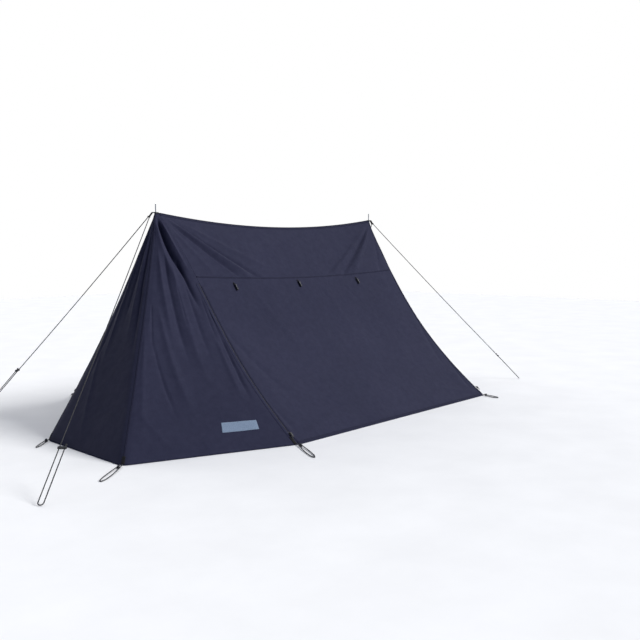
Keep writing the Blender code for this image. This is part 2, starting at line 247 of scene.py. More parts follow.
# ---------------------------------------- materials
def cloth_material():
    """Slate blue proofed cloth: plain weave, slubs, faint crush marks and uneven fading."""
    shader = Shader("tent cloth", 0.88, specular=0.08)
    uv = shader.coordinate("UV")
    place = shader.coordinate("Object")
    fade = shader.ramp(shader.noise(place, 1.7, 3.0), [
        (0.30, (0.0250, 0.0262, 0.0510)), (0.70, (0.0290, 0.0300, 0.0575))])
    marks = shader.ramp(shader.noise(place, 26.0, 6.0, 0.65), [
        (0.35, (0.90, 0.90, 0.92)), (0.65, (1.06, 1.06, 1.05))])
    stretched = shader.node("ShaderNodeMapping")
    stretched.inputs["Scale"].default_value = (900.0, 60.0, 1.0)
    shader.link(uv, stretched.inputs["Vector"])
    slub = shader.ramp(shader.noise(stretched.outputs[0], 1.0, 2.0), [
        (0.35, (0.93, 0.93, 0.93)), (0.70, (1.06, 1.06, 1.06))])
    colour = shader.blend(1.0, shader.blend(1.0, fade, marks, "MULTIPLY"), slub, "MULTIPLY")
    crush = shader.bump(shader.noise(place, 9.0, 6.0, 0.62), 0.30, 0.006)
    fine = shader.bump(shader.noise(place, 70.0, 4.0, 0.6), 0.16, 0.0012, crush)
    thread = shader.bump(shader.weave(WEAVE_PITCH), 0.22, 0.00016, fine)
    rough = shader.math("MULTIPLY_ADD", shader.noise(place, 14.0), 0.16)
    rough.node.inputs[2].default_value = 0.72
    return shader.finish(colour, thread, rough)


def seam_material():
    """Felled seam: doubled cloth with two rows of lockstitch sunk into it."""
    shader = Shader("felled seam", 0.88, specular=0.08)
    along, across = shader.split(shader.coordinate("UV"))
    row = shader.math("ABSOLUTE", shader.math("SUBTRACT", shader.math("ABSOLUTE", across), 0.0038))
    in_row = shader.math("LESS_THAN", row, 0.0007)
    step = shader.math("FRACT", shader.math("MULTIPLY", along, 285.0))
    dash = shader.math("LESS_THAN", step, 0.68)
    stitch = shader.math("MULTIPLY", in_row, dash)
    pucker = shader.noise(shader.coordinate("Object"), 60.0, 4.0)
    colour = shader.blend(stitch, shader.ramp(pucker, [
        (0.3, (0.0200, 0.0208, 0.0410)), (0.7, (0.0250, 0.0260, 0.0500))]), (0.008, 0.008, 0.016))
    sunk = shader.bump(in_row, -0.6, 0.0006)
    threads = shader.bump(stitch, 0.8, 0.0005, sunk)
    cockle = shader.bump(pucker, 0.5, 0.0022, threads)
    return shader.finish(colour, shader.bump(shader.weave(WEAVE_PITCH), 0.22, 0.00016, cockle))


def webbing_material():
    """Black woven webbing with a herringbone rib."""
    shader = Shader("black webbing", 0.80, sheen=0.02, specular=0.20)
    x, y = shader.split(shader.coordinate("Object"))
    lean = shader.math("ADD", x, shader.math("ABSOLUTE", y))
    rib = shader.math("SINE", shader.math("MULTIPLY", lean, 2 * math.pi / 0.0022))
    colour = shader.ramp(shader.noise(shader.coordinate("Object"), 90.0), [
        (0.3, (0.0050, 0.0050, 0.0060)), (0.7, (0.0120, 0.0120, 0.0135))])
    return shader.finish(colour, shader.bump(rib, 0.35, 0.0004))


def cord_material(name, dark, light, painted_glint):
    """Braided cord: strands cross both ways round it, its colour darker in the grooves as painted
    shade and paler on the strands' crowns as painted highlight, palest at their tops as a painted
    glint.
    """
    shader = Shader(name, 0.80, sheen=0.02, specular=0.20)
    x, y = shader.split(shader.coordinate("UV"))
    round_it = shader.math("MULTIPLY", x, 2 * math.pi * 4)
    along = shader.math("MULTIPLY", y, 2 * math.pi / 0.0065)
    left = shader.math("SINE", shader.math("ADD", round_it, along))
    right = shader.math("SINE", shader.math("SUBTRACT", round_it, along))
    braid = shader.math("MAXIMUM", left, right)
    # Colour follows the braid's height: the first colour is painted shade in the grooves, the
    # second painted highlight on the crowns and the third a painted glint at their tops.
    colour = shader.ramp(braid, [(0.15, dark), (0.80, light), (0.97, painted_glint)])
    return shader.finish(colour, shader.bump(braid, 0.6, 0.0006))


def zip_material():
    """Nylon coil zip: fine teeth across a dark tape."""
    shader = Shader("coil zip", 0.45, specular=0.5)
    x, _ = shader.split(shader.coordinate("UV"))
    teeth = shader.math("SINE", shader.math("MULTIPLY", x, 2 * math.pi / 0.0032))
    colour = shader.ramp(teeth, [(0.2, (0.005, 0.005, 0.008)), (0.9, (0.014, 0.014, 0.022))])
    return shader.finish(colour, shader.bump(teeth, 0.8, 0.0009))


def steel_material():
    """Zinc plated tube: drawn lengthwise, faintly clouded."""
    shader = Shader("zinc plated steel", 0.34, metallic=1.0)
    place = shader.coordinate("Object")
    drawn = shader.node("ShaderNodeMapping")
    drawn.inputs["Scale"].default_value = (900.0, 900.0, 14.0)
    shader.link(place, drawn.inputs["Vector"])
    lines = shader.noise(drawn.outputs[0], 1.0, 3.0)
    colour = shader.ramp(shader.noise(place, 22.0), [
        (0.3, (0.42, 0.43, 0.44)), (0.7, (0.58, 0.59, 0.60))])
    rough = shader.math("MULTIPLY_ADD", lines, 0.22)
    rough.node.inputs[2].default_value = 0.24
    return shader.finish(colour, shader.bump(lines, 0.12, 0.0003), rough)


def moulded_material(name, colour, roughness, grain, metallic=0.0):
    """Moulded or painted surface: fine grain and handling marks."""
    shader = Shader(name, roughness, metallic=metallic)
    place = shader.coordinate("Object")
    dark = tuple(0.75 * c for c in colour)
    light = tuple(1.25 * c for c in colour)
    worn = shader.ramp(shader.noise(place, 55.0), [(0.3, dark), (0.7, light)])
    rough = shader.math("MULTIPLY_ADD", shader.noise(place, 120.0), 0.20)
    rough.node.inputs[2].default_value = roughness - 0.10
    return shader.finish(worn, shader.bump(shader.noise(place, grain), 0.25, 0.0003), rough)


def patch_material():
    """Plain pale label printed on the cloth, with no lettering."""
    shader = Shader("printed patch", 0.70, specular=0.20)
    worn = shader.ramp(shader.noise(shader.coordinate("Object"), 240.0, 5.0), [
        (0.30, (0.11, 0.15, 0.22)), (0.50, (0.19, 0.25, 0.34)), (0.75, (0.22, 0.28, 0.38))])
    return shader.finish(worn, shader.bump(shader.weave(WEAVE_PITCH), 0.30, 0.0002))


def floor_material():
    """Matt pale floor."""
    shader = Shader("pale floor", 0.90, specular=0.15)
    shade = shader.ramp(shader.noise(shader.coordinate("Object"), 2.5), [
        (0.3, (0.80, 0.80, 0.80)), (0.7, (0.84, 0.84, 0.84))])
    return shader.finish(shade)


MATS = {
    "cloth": cloth_material(),
    "seam": seam_material(),
    "webbing": webbing_material(),
    # Cord colours: painted shade in the grooves, painted highlight on the crowns and a painted
    # glint at their tops.
    "guy": cord_material("guy cord", (0.004, 0.004, 0.005), (0.016, 0.017, 0.019),
                         (0.11, 0.11, 0.12)),
    "loop": cord_material("peg loop cord", (0.003, 0.003, 0.004), (0.012, 0.012, 0.014),
                          (0.16, 0.16, 0.17)),
    "zip": zip_material(),
    "steel": steel_material(),
    "eyelet": moulded_material("blackened eyelet", (0.06, 0.06, 0.062), 0.42, 300.0, 1.0),
    "rubber": moulded_material("black rubber", (0.020, 0.020, 0.020), 0.78, 500.0),
    "plastic": moulded_material("dark plastic", (0.026, 0.027, 0.029), 0.48, 420.0),
    "toggle": moulded_material("black toggle", (0.012, 0.012, 0.013), 0.42, 380.0),
    "slider": moulded_material("black painted slider", (0.040, 0.040, 0.042), 0.38, 260.0, 0.6),
    "patch": patch_material(),
    "floor": floor_material(),
}


# ---------------------------------------- surfaces of the cloth
def hang(v):
    """Share of a hollow at v: none at the ridge and the hem, fullest below half way."""
    return np.sin(np.pi * np.clip(v, 0, 1) ** 1.3)


def draw(v):
    """Share of an edge's draw at v: the same with its fullest point above half way."""
    return np.sin(np.pi * np.clip(v, 0, 1) ** 0.6)


def smooth(t):
    """Smooth step from 0 to 1."""
    t = np.clip(t, 0, 1)
    return t * t * (3 - 2 * t)


def door_edge(v):
    """Edge shared by a side and an end, at the corner with x > 0 and y < 0."""
    x = POLE_X + (HEM_LENGTH - RIDGE_LENGTH) / 2 * v - EDGE_DRAW * draw(v)
    point = np.stack([x, -HALF_WIDTH * v, RIDGE_HEIGHT * (1 - v)], -1)
    return point + INWARD * (WALL_SAG * hang(v))[..., None]


def corner_line(corner, v):
    """Slightly hollow line from the peak with x > 0 to a corner of its end."""
    reach = np.array((*corner, 0.0))
    point = np.stack([np.full_like(v, POLE_X), 0 * v, RIDGE_HEIGHT * (1 - v)], -1)
    inward = reach / np.linalg.norm(reach) * END_SAG
    return point + reach * v[..., None] - inward * hang(v)[..., None]


def drape_over_pole(point):
    """Cloth near a peak lies over the pole's shoulder and flat under its eyelet."""
    away = np.hypot(np.abs(point[..., 0]) - POLE_X, point[..., 1])
    lifted = point[..., 2] + PEAK_LIFT * np.exp(-((away - PEAK_RADIUS) / PEAK_SPREAD) ** 2)
    ceiling = EYELET_UNDERSIDE - PEAK_CLEARANCE
    point[..., 2] = np.where(away < PEAK_REACH, np.minimum(lifted, ceiling), point[..., 2])
    return point


def noise_at(point, scale, seed):
    """Smooth noise in -1 to 1 at many points."""
    flat = point.reshape(-1, 3)
    values = [noise.noise(Vector(p) * scale + Vector((seed, seed * 0.7, -seed))) for p in flat]
    return np.array(values).reshape(point.shape[:-1])


def crease(distance, width):
    """Cross-section of a crease: a sharpened bell, 1 at its middle."""
    return np.exp(-np.abs(distance / width) ** 1.5)


def side_base(u, v):
    """Front side, u from -1 to 1 along the ridge and v from the ridge to the hem."""
    edge = door_edge(v)
    x = u * edge[..., 0]
    sag = RIDGE_SAG * (1 - (x / POLE_X) ** 2) * np.clip(1 - v / FOLD, 0, 1)
    return np.stack([x, edge[..., 1], edge[..., 2] - sag], -1)


# Creases and rolls of the yoke and the wall: start and end as (u, v), width, and height above
# the surface (below it where negative).
YOKE_CREASES = [
    ((-0.960, 0.020), (-0.600, 0.275), 0.013, -0.0140),
    ((-0.950, 0.015), (-0.515, 0.280), 0.034, 0.0190),
    ((-0.940, 0.012), (-0.430, 0.288), 0.014, -0.0160),
    ((-0.900, 0.010), (-0.300, 0.240), 0.030, 0.0060),
    ((-0.975, 0.030), (-0.780, 0.270), 0.022, 0.0050),
    ((0.985, 0.018), (0.375, 0.292), 0.014, -0.0170),
    ((0.980, 0.022), (0.480, 0.290), 0.030, 0.0120),
    ((0.970, 0.016), (0.290, 0.270), 0.032, 0.0120),
    ((0.640, 0.130), (0.205, 0.290), 0.012, -0.0085),
    ((0.980, 0.060), (0.800, 0.280), 0.022, -0.0050),
]
WALL_CREASES = [
    ((-0.990, 0.36), (-0.740, 0.78), 0.030, -0.0040),
    ((-0.980, 0.52), (-0.880, 0.93), 0.016, -0.0045),
    ((0.990, 0.34), (0.820, 0.78), 0.026, -0.0045),
    ((0.970, 0.60), (0.860, 0.96), 0.018, -0.0040),
    ((-0.550, 0.33), (-0.400, 0.62), 0.045, 0.0030),
    ((0.100, 0.33), (0.200, 0.70), 0.060, 0.0030),
    ((0.300, 0.33), (0.420, 0.45), 0.012, -0.0020),
    ((0.020, 0.33), (0.120, 0.42), 0.010, -0.0018),
    ((-0.930, 0.985), (-0.500, 0.91), 0.026, 0.0040),
    ((0.950, 0.985), (0.550, 0.91), 0.028, 0.0040),
]


def segment_distance(px, py, start, end):
    """Signed distance from a segment's line, and the share of the way along it."""
    dx, dy = end[0] - start[0], end[1] - start[1]
    length = math.hypot(dx, dy)
    along = ((px - start[0]) * dx + (py - start[1]) * dy) / length ** 2
    across = ((px - start[0]) * dy - (py - start[1]) * dx) / length
    return across, along


def side_relief(u, v, point, seed):
    """How far the front side's cloth stands off its base surface."""
    x, down = point[..., 0], v * SLOPE_LENGTH
    relief = np.zeros_like(x)
    for start, finish, width, height in YOKE_CREASES + WALL_CREASES:
        a = (start[0] * POLE_X, start[1] * SLOPE_LENGTH)
        b = (finish[0] * POLE_X, finish[1] * SLOPE_LENGTH)
        across, along = segment_distance(x, down, a, b)
        window = smooth((along + 0.02) / 0.30) * smooth((1.10 - along) / 0.25)
        relief += height * window * crease(across, width * (0.45 + 0.55 * np.clip(along, 0, 1)))
    relief += 0.0050 * noise_at(point, 1.6, seed) * smooth(v / 0.15)
    relief += 0.0016 * noise_at(point * np.array((1.0, 0.35, 0.35)), 11.0, seed + 5)
    pull = np.exp(-(((v - FOLD + 0.012) * SLOPE_LENGTH) / 0.05) ** 2)
    relief -= 0.0030 * pull
    fixed = smooth((1 - np.abs(u)) * 1.15 / 0.05) * smooth(v / 0.03) * smooth((1 - v) / 0.02)
    return relief * fixed


def surface_normal(function, u, v, step=1e-3):
    """Outward unit normal of a surface function by central differences."""
    du = function(u + step, v) - function(u - step, v)
    low, high = np.clip(v - step, 1e-4, 1), np.clip(v + step, 1e-4, 1)
    dv = function(u, high) - function(u, low)
    normal = np.cross(dv, du)
    return normal / np.maximum(np.linalg.norm(normal, axis=-1, keepdims=True), 1e-12)


def side_surface(u, v, face):
    """Finished side: base, relief and the drape over the poles, front or back."""
    base = side_base(u, v)
    normal = surface_normal(side_base, u, v)
    normal *= np.where(normal[..., 1:2] > 0, -1, 1)
    seed = 3.0 if face == "front" else 17.0
    point = base + normal * side_relief(u, v, base, seed)[..., None]
    point = drape_over_pole(point)
    return point if face == "front" else point * np.array((1, -1, 1))


def end_corners(v):
    """An end's corner lines at phi 0, 1, 2 and 3."""
    flip = np.array((1, -1, 1))
    return [door_edge(v), corner_line(SHOULDER, v), corner_line((END_REACH, 0.0), v),
            door_edge(v) * flip]


def end_polygon(phi, v):
    """End with sharp corners: phi 0 to 3 runs from the belled half's door edge to the flap's."""
    lines = end_corners(v)
    cell = np.clip(np.floor(phi), 0, 2)
    share = (phi - cell)[..., None]
    point = np.zeros(phi.shape + (3,))
    for i in range(3):
        here = lines[i] + (lines[i + 1] - lines[i]) * share
        point = np.where((cell == i)[..., None], here, point)
    return point


def end_base(phi, v):
    """End with its corners rounded, most near the peak and least at the hem."""
    radius = (0.05 + 0.30 * (1 - v) ** 1.5) * smooth(phi / 0.4) * smooth((3 - phi) / 0.4)
    total = 0.0
    for offset, weight in ((-1, 1), (-0.5, 2), (0, 3), (0.5, 2), (1, 1)):
        total = total + weight * end_polygon(np.clip(phi + offset * radius, 0, 3), v)
    return total / 9


# Folds of an end, from the belled half's door edge: (phi, v) at the top and the foot, width,
# height.
END_FOLDS = [
    ((0.85, 0.03), (0.47, 0.30), 0.030, 0.0160),
    ((0.60, 0.02), (0.24, 0.27), 0.021, -0.0440),
    ((0.27, 0.20), (0.20, 0.40), 0.017, -0.0220),
    ((0.30, 0.03), (0.11, 0.25), 0.014, 0.0070),
    ((0.80, 0.16), (0.64, 0.56), 0.030, 0.0140),
    ((0.64, 0.18), (0.52, 0.62), 0.022, -0.0130),
    ((0.50, 0.20), (0.40, 0.68), 0.032, 0.0100),
    ((0.47, 0.32), (0.44, 0.52), 0.007, -0.0065),
    ((0.30, 0.30), (0.29, 0.62), 0.020, -0.0070),
    ((0.10, 0.36), (0.15, 0.58), 0.007, -0.0055),
    ((0.05, 0.40), (0.09, 0.60), 0.006, -0.0050),
    ((0.065, 0.53), (0.105, 0.78), 0.011, -0.0130),
    ((0.14, 0.50), (0.17, 0.80), 0.022, 0.0070),
    ((0.90, 0.40), (0.86, 0.60), 0.008, -0.0060),
    ((0.865, 0.56), (0.69, 0.84), 0.009, -0.0085),
    ((0.80, 0.42), (0.58, 0.82), 0.038, 0.0110),
    ((0.97, 0.50), (0.90, 0.90), 0.020, 0.0040),
    ((1.27, 0.06), (1.12, 0.62), 0.022, -0.0120),
    ((1.38, 0.05), (1.30, 0.55), 0.026, 0.0090),
    ((1.56, 0.05), (1.50, 0.50), 0.018, -0.0080),
    ((1.78, 0.06), (1.70, 0.66), 0.026, 0.0090),
    ((1.88, 0.10), (1.84, 0.74), 0.016, -0.0080),
    ((1.85, 0.60), (1.60, 0.95), 0.030, 0.0050),
    ((0.95, 0.82), (0.72, 0.97), 0.036, 0.0045),
    ((2.16, 0.06), (2.10, 0.62), 0.026, -0.0090),
    ((2.32, 0.05), (2.26, 0.55), 0.030, 0.0110),
    ((2.50, 0.06), (2.44, 0.74), 0.024, -0.0100),
    ((2.66, 0.08), (2.60, 0.60), 0.038, 0.0110),
    ((2.80, 0.04), (2.86, 0.40), 0.018, -0.0130),
    ((2.93, 0.45), (2.74, 0.92), 0.014, -0.0060),
    ((2.96, 0.50), (2.90, 0.80), 0.012, 0.0040),
]
END_HEM = (0.0, 1.12, 2.01, 3.64)   # distance along the hem at phi 0, 1, 2 and 3


def hem_distance(phi):
    """Distance along an end's hem."""
    return np.interp(phi, range(4), END_HEM)


def end_relief(phi, v, point, seed):
    """How far an end's cloth stands off its base surface."""
    relief = np.zeros_like(v)
    for top, foot, width, height in END_FOLDS:
        along = (v - top[1]) / (foot[1] - top[1])
        centre = top[0] + (foot[0] - top[0]) * along
        across = (hem_distance(phi) - hem_distance(centre)) * v
        window = smooth((along + 0.05) / 0.30) * smooth((1.15 - along) / 0.45)
        relief += height * window * crease(across, width * (0.40 + 0.60 * np.clip(along, 0, 1)))
    relief += 0.0070 * noise_at(point, 1.9, seed) * smooth((v - 0.1) / 0.3)
    relief += 0.0016 * noise_at(point * np.array((1.0, 1.0, 0.35)), 12.0, seed + 5)
    edge = np.minimum(hem_distance(phi), END_HEM[3] - hem_distance(phi)) * v
    fixed = smooth(edge / 0.030) * smooth((v - 0.012) / 0.04) * smooth((1 - v) / 0.02)
    return relief * fixed


def end_surface(phi, v, side):
    """Finished end, left or right: the right one is the left one turned round."""
    base = end_base(phi, v)
    normal = surface_normal(lambda a, b: end_base(np.clip(a, 0, 3), b), phi, v)
    normal *= np.where((normal[..., 0:1] + 0.6 * normal[..., 2:3]) < 0, -1, 1)
    seed = 31.0 if side == "left" else 47.0
    point = base + normal * end_relief(phi, v, base, seed)[..., None]
    return drape_over_pole(point) * END_TURN[side]


# ---------------------------------------- mesh helpers
def add_mesh(name, points, faces, mat, uvs=None, smooth_shading=True):
    """A new mesh object, with one UV pair for each point."""
    mesh = bpy.data.meshes.new(name)
    mesh.from_pydata([tuple(p) for p in points], [], faces)
    mesh.polygons.foreach_set("use_smooth", [smooth_shading] * len(mesh.polygons))
    if uvs is not None:
        layer = mesh.uv_layers.new(name="UVMap")
        corner = np.zeros(len(mesh.loops), dtype=np.int32)
        mesh.loops.foreach_get("vertex_index", corner)
        layer.data.foreach_set("uv", np.asarray(uvs, dtype=np.float32)[corner].ravel())
    mesh.materials.append(mat)
    obj = bpy.data.objects.new(name, mesh)
    bpy.context.scene.collection.objects.link(obj)
    return obj


def grid_faces(rows, columns, closed=False, flip=False):
    """Quads of a rows by columns lattice of points."""
    faces = []
    for i in range(rows - 1):
        for j in range(columns if closed else columns - 1):
            k = (j + 1) % columns
            quad = (i * columns + j, i * columns + k, (i + 1) * columns + k, (i + 1) * columns + j)
            faces.append(quad[::-1] if flip else quad)
    return faces


def thicken(obj, thickness, offset=-1.0):
    """Give a sheet its thickness: behind its faces, or in front with offset 1."""
    solid = obj.modifiers.new("Thickness", "SOLIDIFY")
    solid.thickness = thickness
    solid.offset = offset
    solid.use_even_offset = False


def place(obj, body, slot, *replaced):
    """Ride a piece on a body and hide the nodes that it stands in for; slot is not used."""
    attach(obj, body)
    if replaced:
        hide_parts(*replaced)


def distances(points):
    """Distance of each point along the line through them."""
    return np.concatenate([[0], np.cumsum(np.linalg.norm(np.diff(points, axis=0), axis=1))])


def tube_faces(rings, sides):
    """Faces of a stack of rings, closed at both ends."""
    faces = grid_faces(rings, sides, closed=True)
    faces.append(tuple(range(sides))[::-1])
    last = (rings - 1) * sides
    faces.append(tuple(last + k for k in range(sides)))
    return faces


def rope(name, route, diameter, mat, sides=10):
    """Round cord as a mesh tube with braid coordinates: u round it, v along it in metres."""
    points = np.array([tuple(p) for p in route])
    tangents = np.gradient(points, axis=0)
    tangents /= np.linalg.norm(tangents, axis=1, keepdims=True)
    up = np.cross(tangents[0], (0.31, 0.17, 0.93))
    up /= np.linalg.norm(up)
    verts, uvs = [], []
    for centre, tangent, length in zip(points, tangents, distances(points)):
        up = up - tangent * np.dot(up, tangent)
        up /= np.linalg.norm(up)
        beside = np.cross(tangent, up)
        for k in range(sides):
            angle = 2 * math.pi * k / sides
            verts.append(centre + diameter / 2 * (up * math.cos(angle) + beside * math.sin(angle)))
            uvs.append((1 - abs(2 * k / sides - 1), length))
    return add_mesh(name, verts, tube_faces(len(points), sides), mat, uvs)


def ribbon(name, centres, normals, width, thickness, mat, lift=-0.0004, crown=0.0):
    """Closed strip of cloth or tape along centres, lying square to normals."""
    centres, normals = np.asarray(centres), np.asarray(normals)
    tangents = np.gradient(centres, axis=0)
    tangents /= np.linalg.norm(tangents, axis=1, keepdims=True)
    beside = np.cross(normals, tangents)
    beside /= np.linalg.norm(beside, axis=1, keepdims=True)
    section = [(-0.5, 0.0), (-0.5, 0.6), (-0.42, 1.0), (0.0, 1.0 + crown), (0.42, 1.0),
               (0.5, 0.6), (0.5, 0.0)]
    verts, uvs = [], []
    for centre, normal, side, length in zip(centres, normals, beside, distances(centres)):
        for across, height in section:
            verts.append(centre + side * across * width + normal * (lift + height * thickness))
            uvs.append((length, across * width))
    return add_mesh(name, verts, tube_faces(len(centres), len(section)), mat, uvs)


def turned(name, profile, centre, direction, mat, steps=40):
    """Smooth solid of revolution of (radius, height) points."""
    turn = Vector((0, 0, 1)).rotation_difference(Vector(direction).normalized()).to_matrix()
    verts, uvs = [], []
    for radius, height in profile:
        for k in range(steps):
            angle = 2 * math.pi * k / steps
            local = Vector((radius * math.cos(angle), radius * math.sin(angle), height))
            verts.append(Vector(centre) + turn @ local)
            uvs.append((k / steps, height))
    return add_mesh(name, verts, tube_faces(len(profile), steps), mat, uvs)


def knot(name, centre, direction, size, mat):
    """Overhand knot: a trefoil of cord."""
    turn = Vector((0, 0, 1)).rotation_difference(Vector(direction).normalized()).to_matrix()
    route = []
    for i in range(61):
        t = 2 * math.pi * i / 60
        x = math.sin(t) + 2 * math.sin(2 * t)
        y = math.cos(t) - 2 * math.cos(2 * t)
        z = -1.6 * math.sin(3 * t)
        route.append(Vector(centre) + turn @ (Vector((x, y, z)) * size / 6))
    return rope(name, route, size * 0.42, mat, 8)


# ---------------------------------------- cloth pieces
def side_rows():
    """Slope shares of a side's rows, closer together at the fold."""
    return np.unique(np.concatenate([
        np.linspace(0.0015, FOLD - 0.004, 46),
        np.linspace(FOLD - 0.004, FOLD + 0.014, 10),
        np.linspace(FOLD + 0.014, 1.0003, 96)]))


def build_side(face):
    """A long side in one sheet, yoke and wall, shaped with a bend at the fold."""
    columns = np.linspace(-1, 1, SIDE_COLUMNS)
    rows = side_rows()
    u, v = np.meshgrid(columns, rows)
    reach = (door_edge(v)[..., 0] - 0.0045 * (v < 0.02) - 0.0010) / door_edge(v)[..., 0]
    points = side_surface(u * reach, v, face).reshape(-1, 3)
    uvs = np.stack([u * UV_ACROSS, v * SLOPE_LENGTH], -1).reshape(-1, 2)
    faces = grid_faces(len(rows), len(columns), flip=face == "front")
    sheet = add_mesh(f"{face}_cloth", points, faces, MATS["cloth"], uvs)
    thicken(sheet, CLOTH_THICKNESS)
    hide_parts(f"{face}_yoke", f"{face}_wall")
    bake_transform(sheet)
    return sheet


def build_end(side):
    """An end in one sheet: the belled half and the flat half."""
    columns = np.linspace(0, 3, END_COLUMNS)
    rows = np.concatenate([np.linspace(0.0045, 0.06, 12)[:-1], np.linspace(0.06, 0.9994, 168)])
    phi, v = np.meshgrid(columns, rows)
    points = end_surface(phi, v, side).reshape(-1, 3)
    uvs = np.stack([(phi - 1.5) * v * UV_ACROSS, v * SLOPE_LENGTH], -1).reshape(-1, 2)
    faces = grid_faces(len(rows), len(columns), flip=True)
    sheet = add_mesh(f"{side}_end_cloth", points, faces, MATS["cloth"], uvs)
    thicken(sheet, CLOTH_THICKNESS)
    bell, flap = BELL_FACE[side], FLAP_FACE[side]
    place(sheet, "tent", "cloth", f"{side}_{bell}_door_gore", f"{side}_{bell}_end_gore",
          f"{side}_{flap}_end_flap")
    return sheet


def along_side(face, u, v):
    """Points and outward normals of a side along a path given by u and v arrays."""
    points = side_surface(u, v, face)
    step = 2e-3
    du = side_surface(u + step, v, face) - side_surface(u - step, v, face)
    low, high = np.clip(v - step, 2e-3, 1), np.clip(v + step, 2e-3, 1)
    dv = side_surface(u, high, face) - side_surface(u, low, face)
    normals = np.cross(dv, du)
    outward = -1 if face == "front" else 1
    normals *= np.where(normals[..., 1:2] * outward < 0, -1, 1)
    return points, normals / np.linalg.norm(normals, axis=-1, keepdims=True)


def along_end(side, phi, v):
    """Points and outward normals of an end along a path given by phi and v arrays."""
    points = end_surface(phi, v, side)
    step = 4e-3
    before, after = np.clip(phi - step, 0, 3), np.clip(phi + step, 0, 3)
    du = end_surface(after, v, side) - end_surface(before, v, side)
    low, high = np.clip(v - step, 2e-3, 1), np.clip(v + step, 2e-3, 1)
    dv = end_surface(phi, high, side) - end_surface(phi, low, side)
    normals = np.cross(dv, du)
    outward = np.array((-1 if side == "left" else 1, 0, 0.6))
    flips = (normals @ outward) < 0
    normals[flips] *= -1
    return points, normals / np.linalg.norm(normals, axis=-1, keepdims=True)


def build_side_trim(face):
    """Seam above the fold, the wall's hem and side bindings, and the zip tapes behind them."""
    u = np.linspace(-0.995, 0.995, 150)
    seam_v = FOLD - 0.0065 - 0.020 * np.abs(u) ** 1.6
    points, normals = along_side(face, u, seam_v)
    seam = ribbon(f"{face}_seam", points, normals, *SIDE_SEAM_SIZE, MATS["seam"], crown=0.2)
    place(seam, "tent", "cloth")
    points, normals = along_side(face, u, np.full_like(u, HEM_SHARE))
    hem = ribbon(f"{face}_hem", points, normals, *HEM_SIZE, MATS["seam"])
    place(hem, f"{face}_wall", "cloth")
    for name, end in (("left", -1), ("right", 1)):
        v = np.linspace(FOLD + 0.014, 0.985, 90)
        reach = 1 - BINDING_SETBACK / door_edge(v)[..., 0]
        points, normals = along_side(face, end * reach, v)
        binding = ribbon(f"{face}_{name}_binding", points, normals, *BINDING_SIZE, MATS["seam"])
        place(binding, f"{face}_wall", "cloth")
        v = np.linspace(FOLD + 0.006, 0.994, 100)
        reach = 1 - ZIP_TAPE_SETBACK / door_edge(v)[..., 0]
        points, normals = along_side(face, end * reach, v)
        tape = ribbon(f"{face}_{name}_zip_tape", points - normals * ZIP_TAPE_DEPTH, normals,
                      *ZIP_TAPE_SIZE, MATS["seam"])
        place(tape, "tent", "cloth")


def build_end_trim(side):
    """Seams on an end's corner lines, its zips and storm flaps, and its hem."""
    for number, phi_at in enumerate((1.0, 2.0)):
        v = np.linspace(0.05, 0.985, 110)
        points, normals = along_end(side, np.full_like(v, phi_at), v)
        seam = ribbon(f"{side}_end_seam_{number}", points, normals, *CORNER_SEAM_SIZE,
                      MATS["seam"], crown=0.2)
        place(seam, "tent", "cloth")
    door_panels = (
        (BELL_FACE[side], 0.0, 1, END_HEM[1]),
        (FLAP_FACE[side], 3.0, -1, END_HEM[3] - END_HEM[2]),
    )
    for face, start, sign, panel in door_panels:
        v = np.linspace(0.045, FOLD + 0.004, 40)
        points, normals = along_end(side, start + sign * ROOF_SEAM_SETBACK / (panel * v), v)
        seam = ribbon(f"{side}_{face}_roof_seam", points, normals, *ROOF_SEAM_SIZE, MATS["seam"])
        place(seam, "tent", "cloth")
        v = np.linspace(FOLD + 0.004, 0.978, 100)
        points, normals = along_end(side, start + sign * COIL_SETBACK / (panel * v), v)
        coil = ribbon(f"{side}_{face}_zip", points, normals, *COIL_SIZE, MATS["zip"], crown=0.3)
        place(coil, "tent", "cloth")
        points, normals = along_end(side, start + sign * STORM_FLAP_SETBACK / (panel * v), v)
        flap = ribbon(f"{side}_{face}_storm_flap", points, normals, *STORM_FLAP_SIZE,
                      MATS["cloth"], crown=0.4)
        place(flap, "tent", "cloth")
    phi = np.linspace(0.012, 2.992, 220)
    points, normals = along_end(side, phi, np.full_like(phi, HEM_SHARE))
    hem = ribbon(f"{side}_end_hem", points, normals, *HEM_SIZE, MATS["seam"])
    place(hem, "tent", "cloth")


def build_ridge_tape():
    """Folded tape sewn over the ridge, lying on both slopes."""
    x = np.linspace(-POLE_X + 0.026, POLE_X - 0.026, 160)
    across = np.linspace(-1, 1, 11)
    verts, uvs = [], []
    for place_x in x:
        for share in across:
            down = 0.0005 + abs(share) * 0.0125
            face = "front" if share <= 0 else "back"
            u = np.array([place_x / float(door_edge(np.array(down))[0])])
            point = side_surface(u, np.array([down]), face)[0]
            ripple = 0.0007 * math.sin(place_x * 150 + share * 2)
            rise = 0.0026 - 0.0012 * abs(share) + ripple * abs(share)
            verts.append(point + np.array((0, 0.7 * share, 0.75)) * rise)
            uvs.append((place_x, share * 0.010))
    tape = add_mesh("ridge_binding", verts, grid_faces(len(x), len(across)), MATS["seam"], uvs)
    thicken(tape, 0.0012, 1.0)
    place(tape, "tent", "ridge_tape", "ridge_tape")


def build_patch():
    """Plain pale label low on the left end, beside the front wall's edge."""
    phi = np.linspace(0.165, 0.405, 60)
    rows = np.linspace(0.884, 0.922, 16)
    grid_phi, grid_v = np.meshgrid(phi, rows)
    upright = grid_phi + 0.4 * (grid_v - rows.mean())
    points, normals = along_end("left", upright.ravel(), grid_v.ravel())
    uvs = np.stack([grid_phi.ravel() * 1.1, grid_v.ravel() * SLOPE_LENGTH], -1)
    faces = grid_faces(len(rows), len(phi), flip=True)
    patch = add_mesh("left_end_patch", points + normals * 0.0016, faces, MATS["patch"], uvs)
    thicken(patch, 0.0003)
    place(patch, "tent", "cloth")


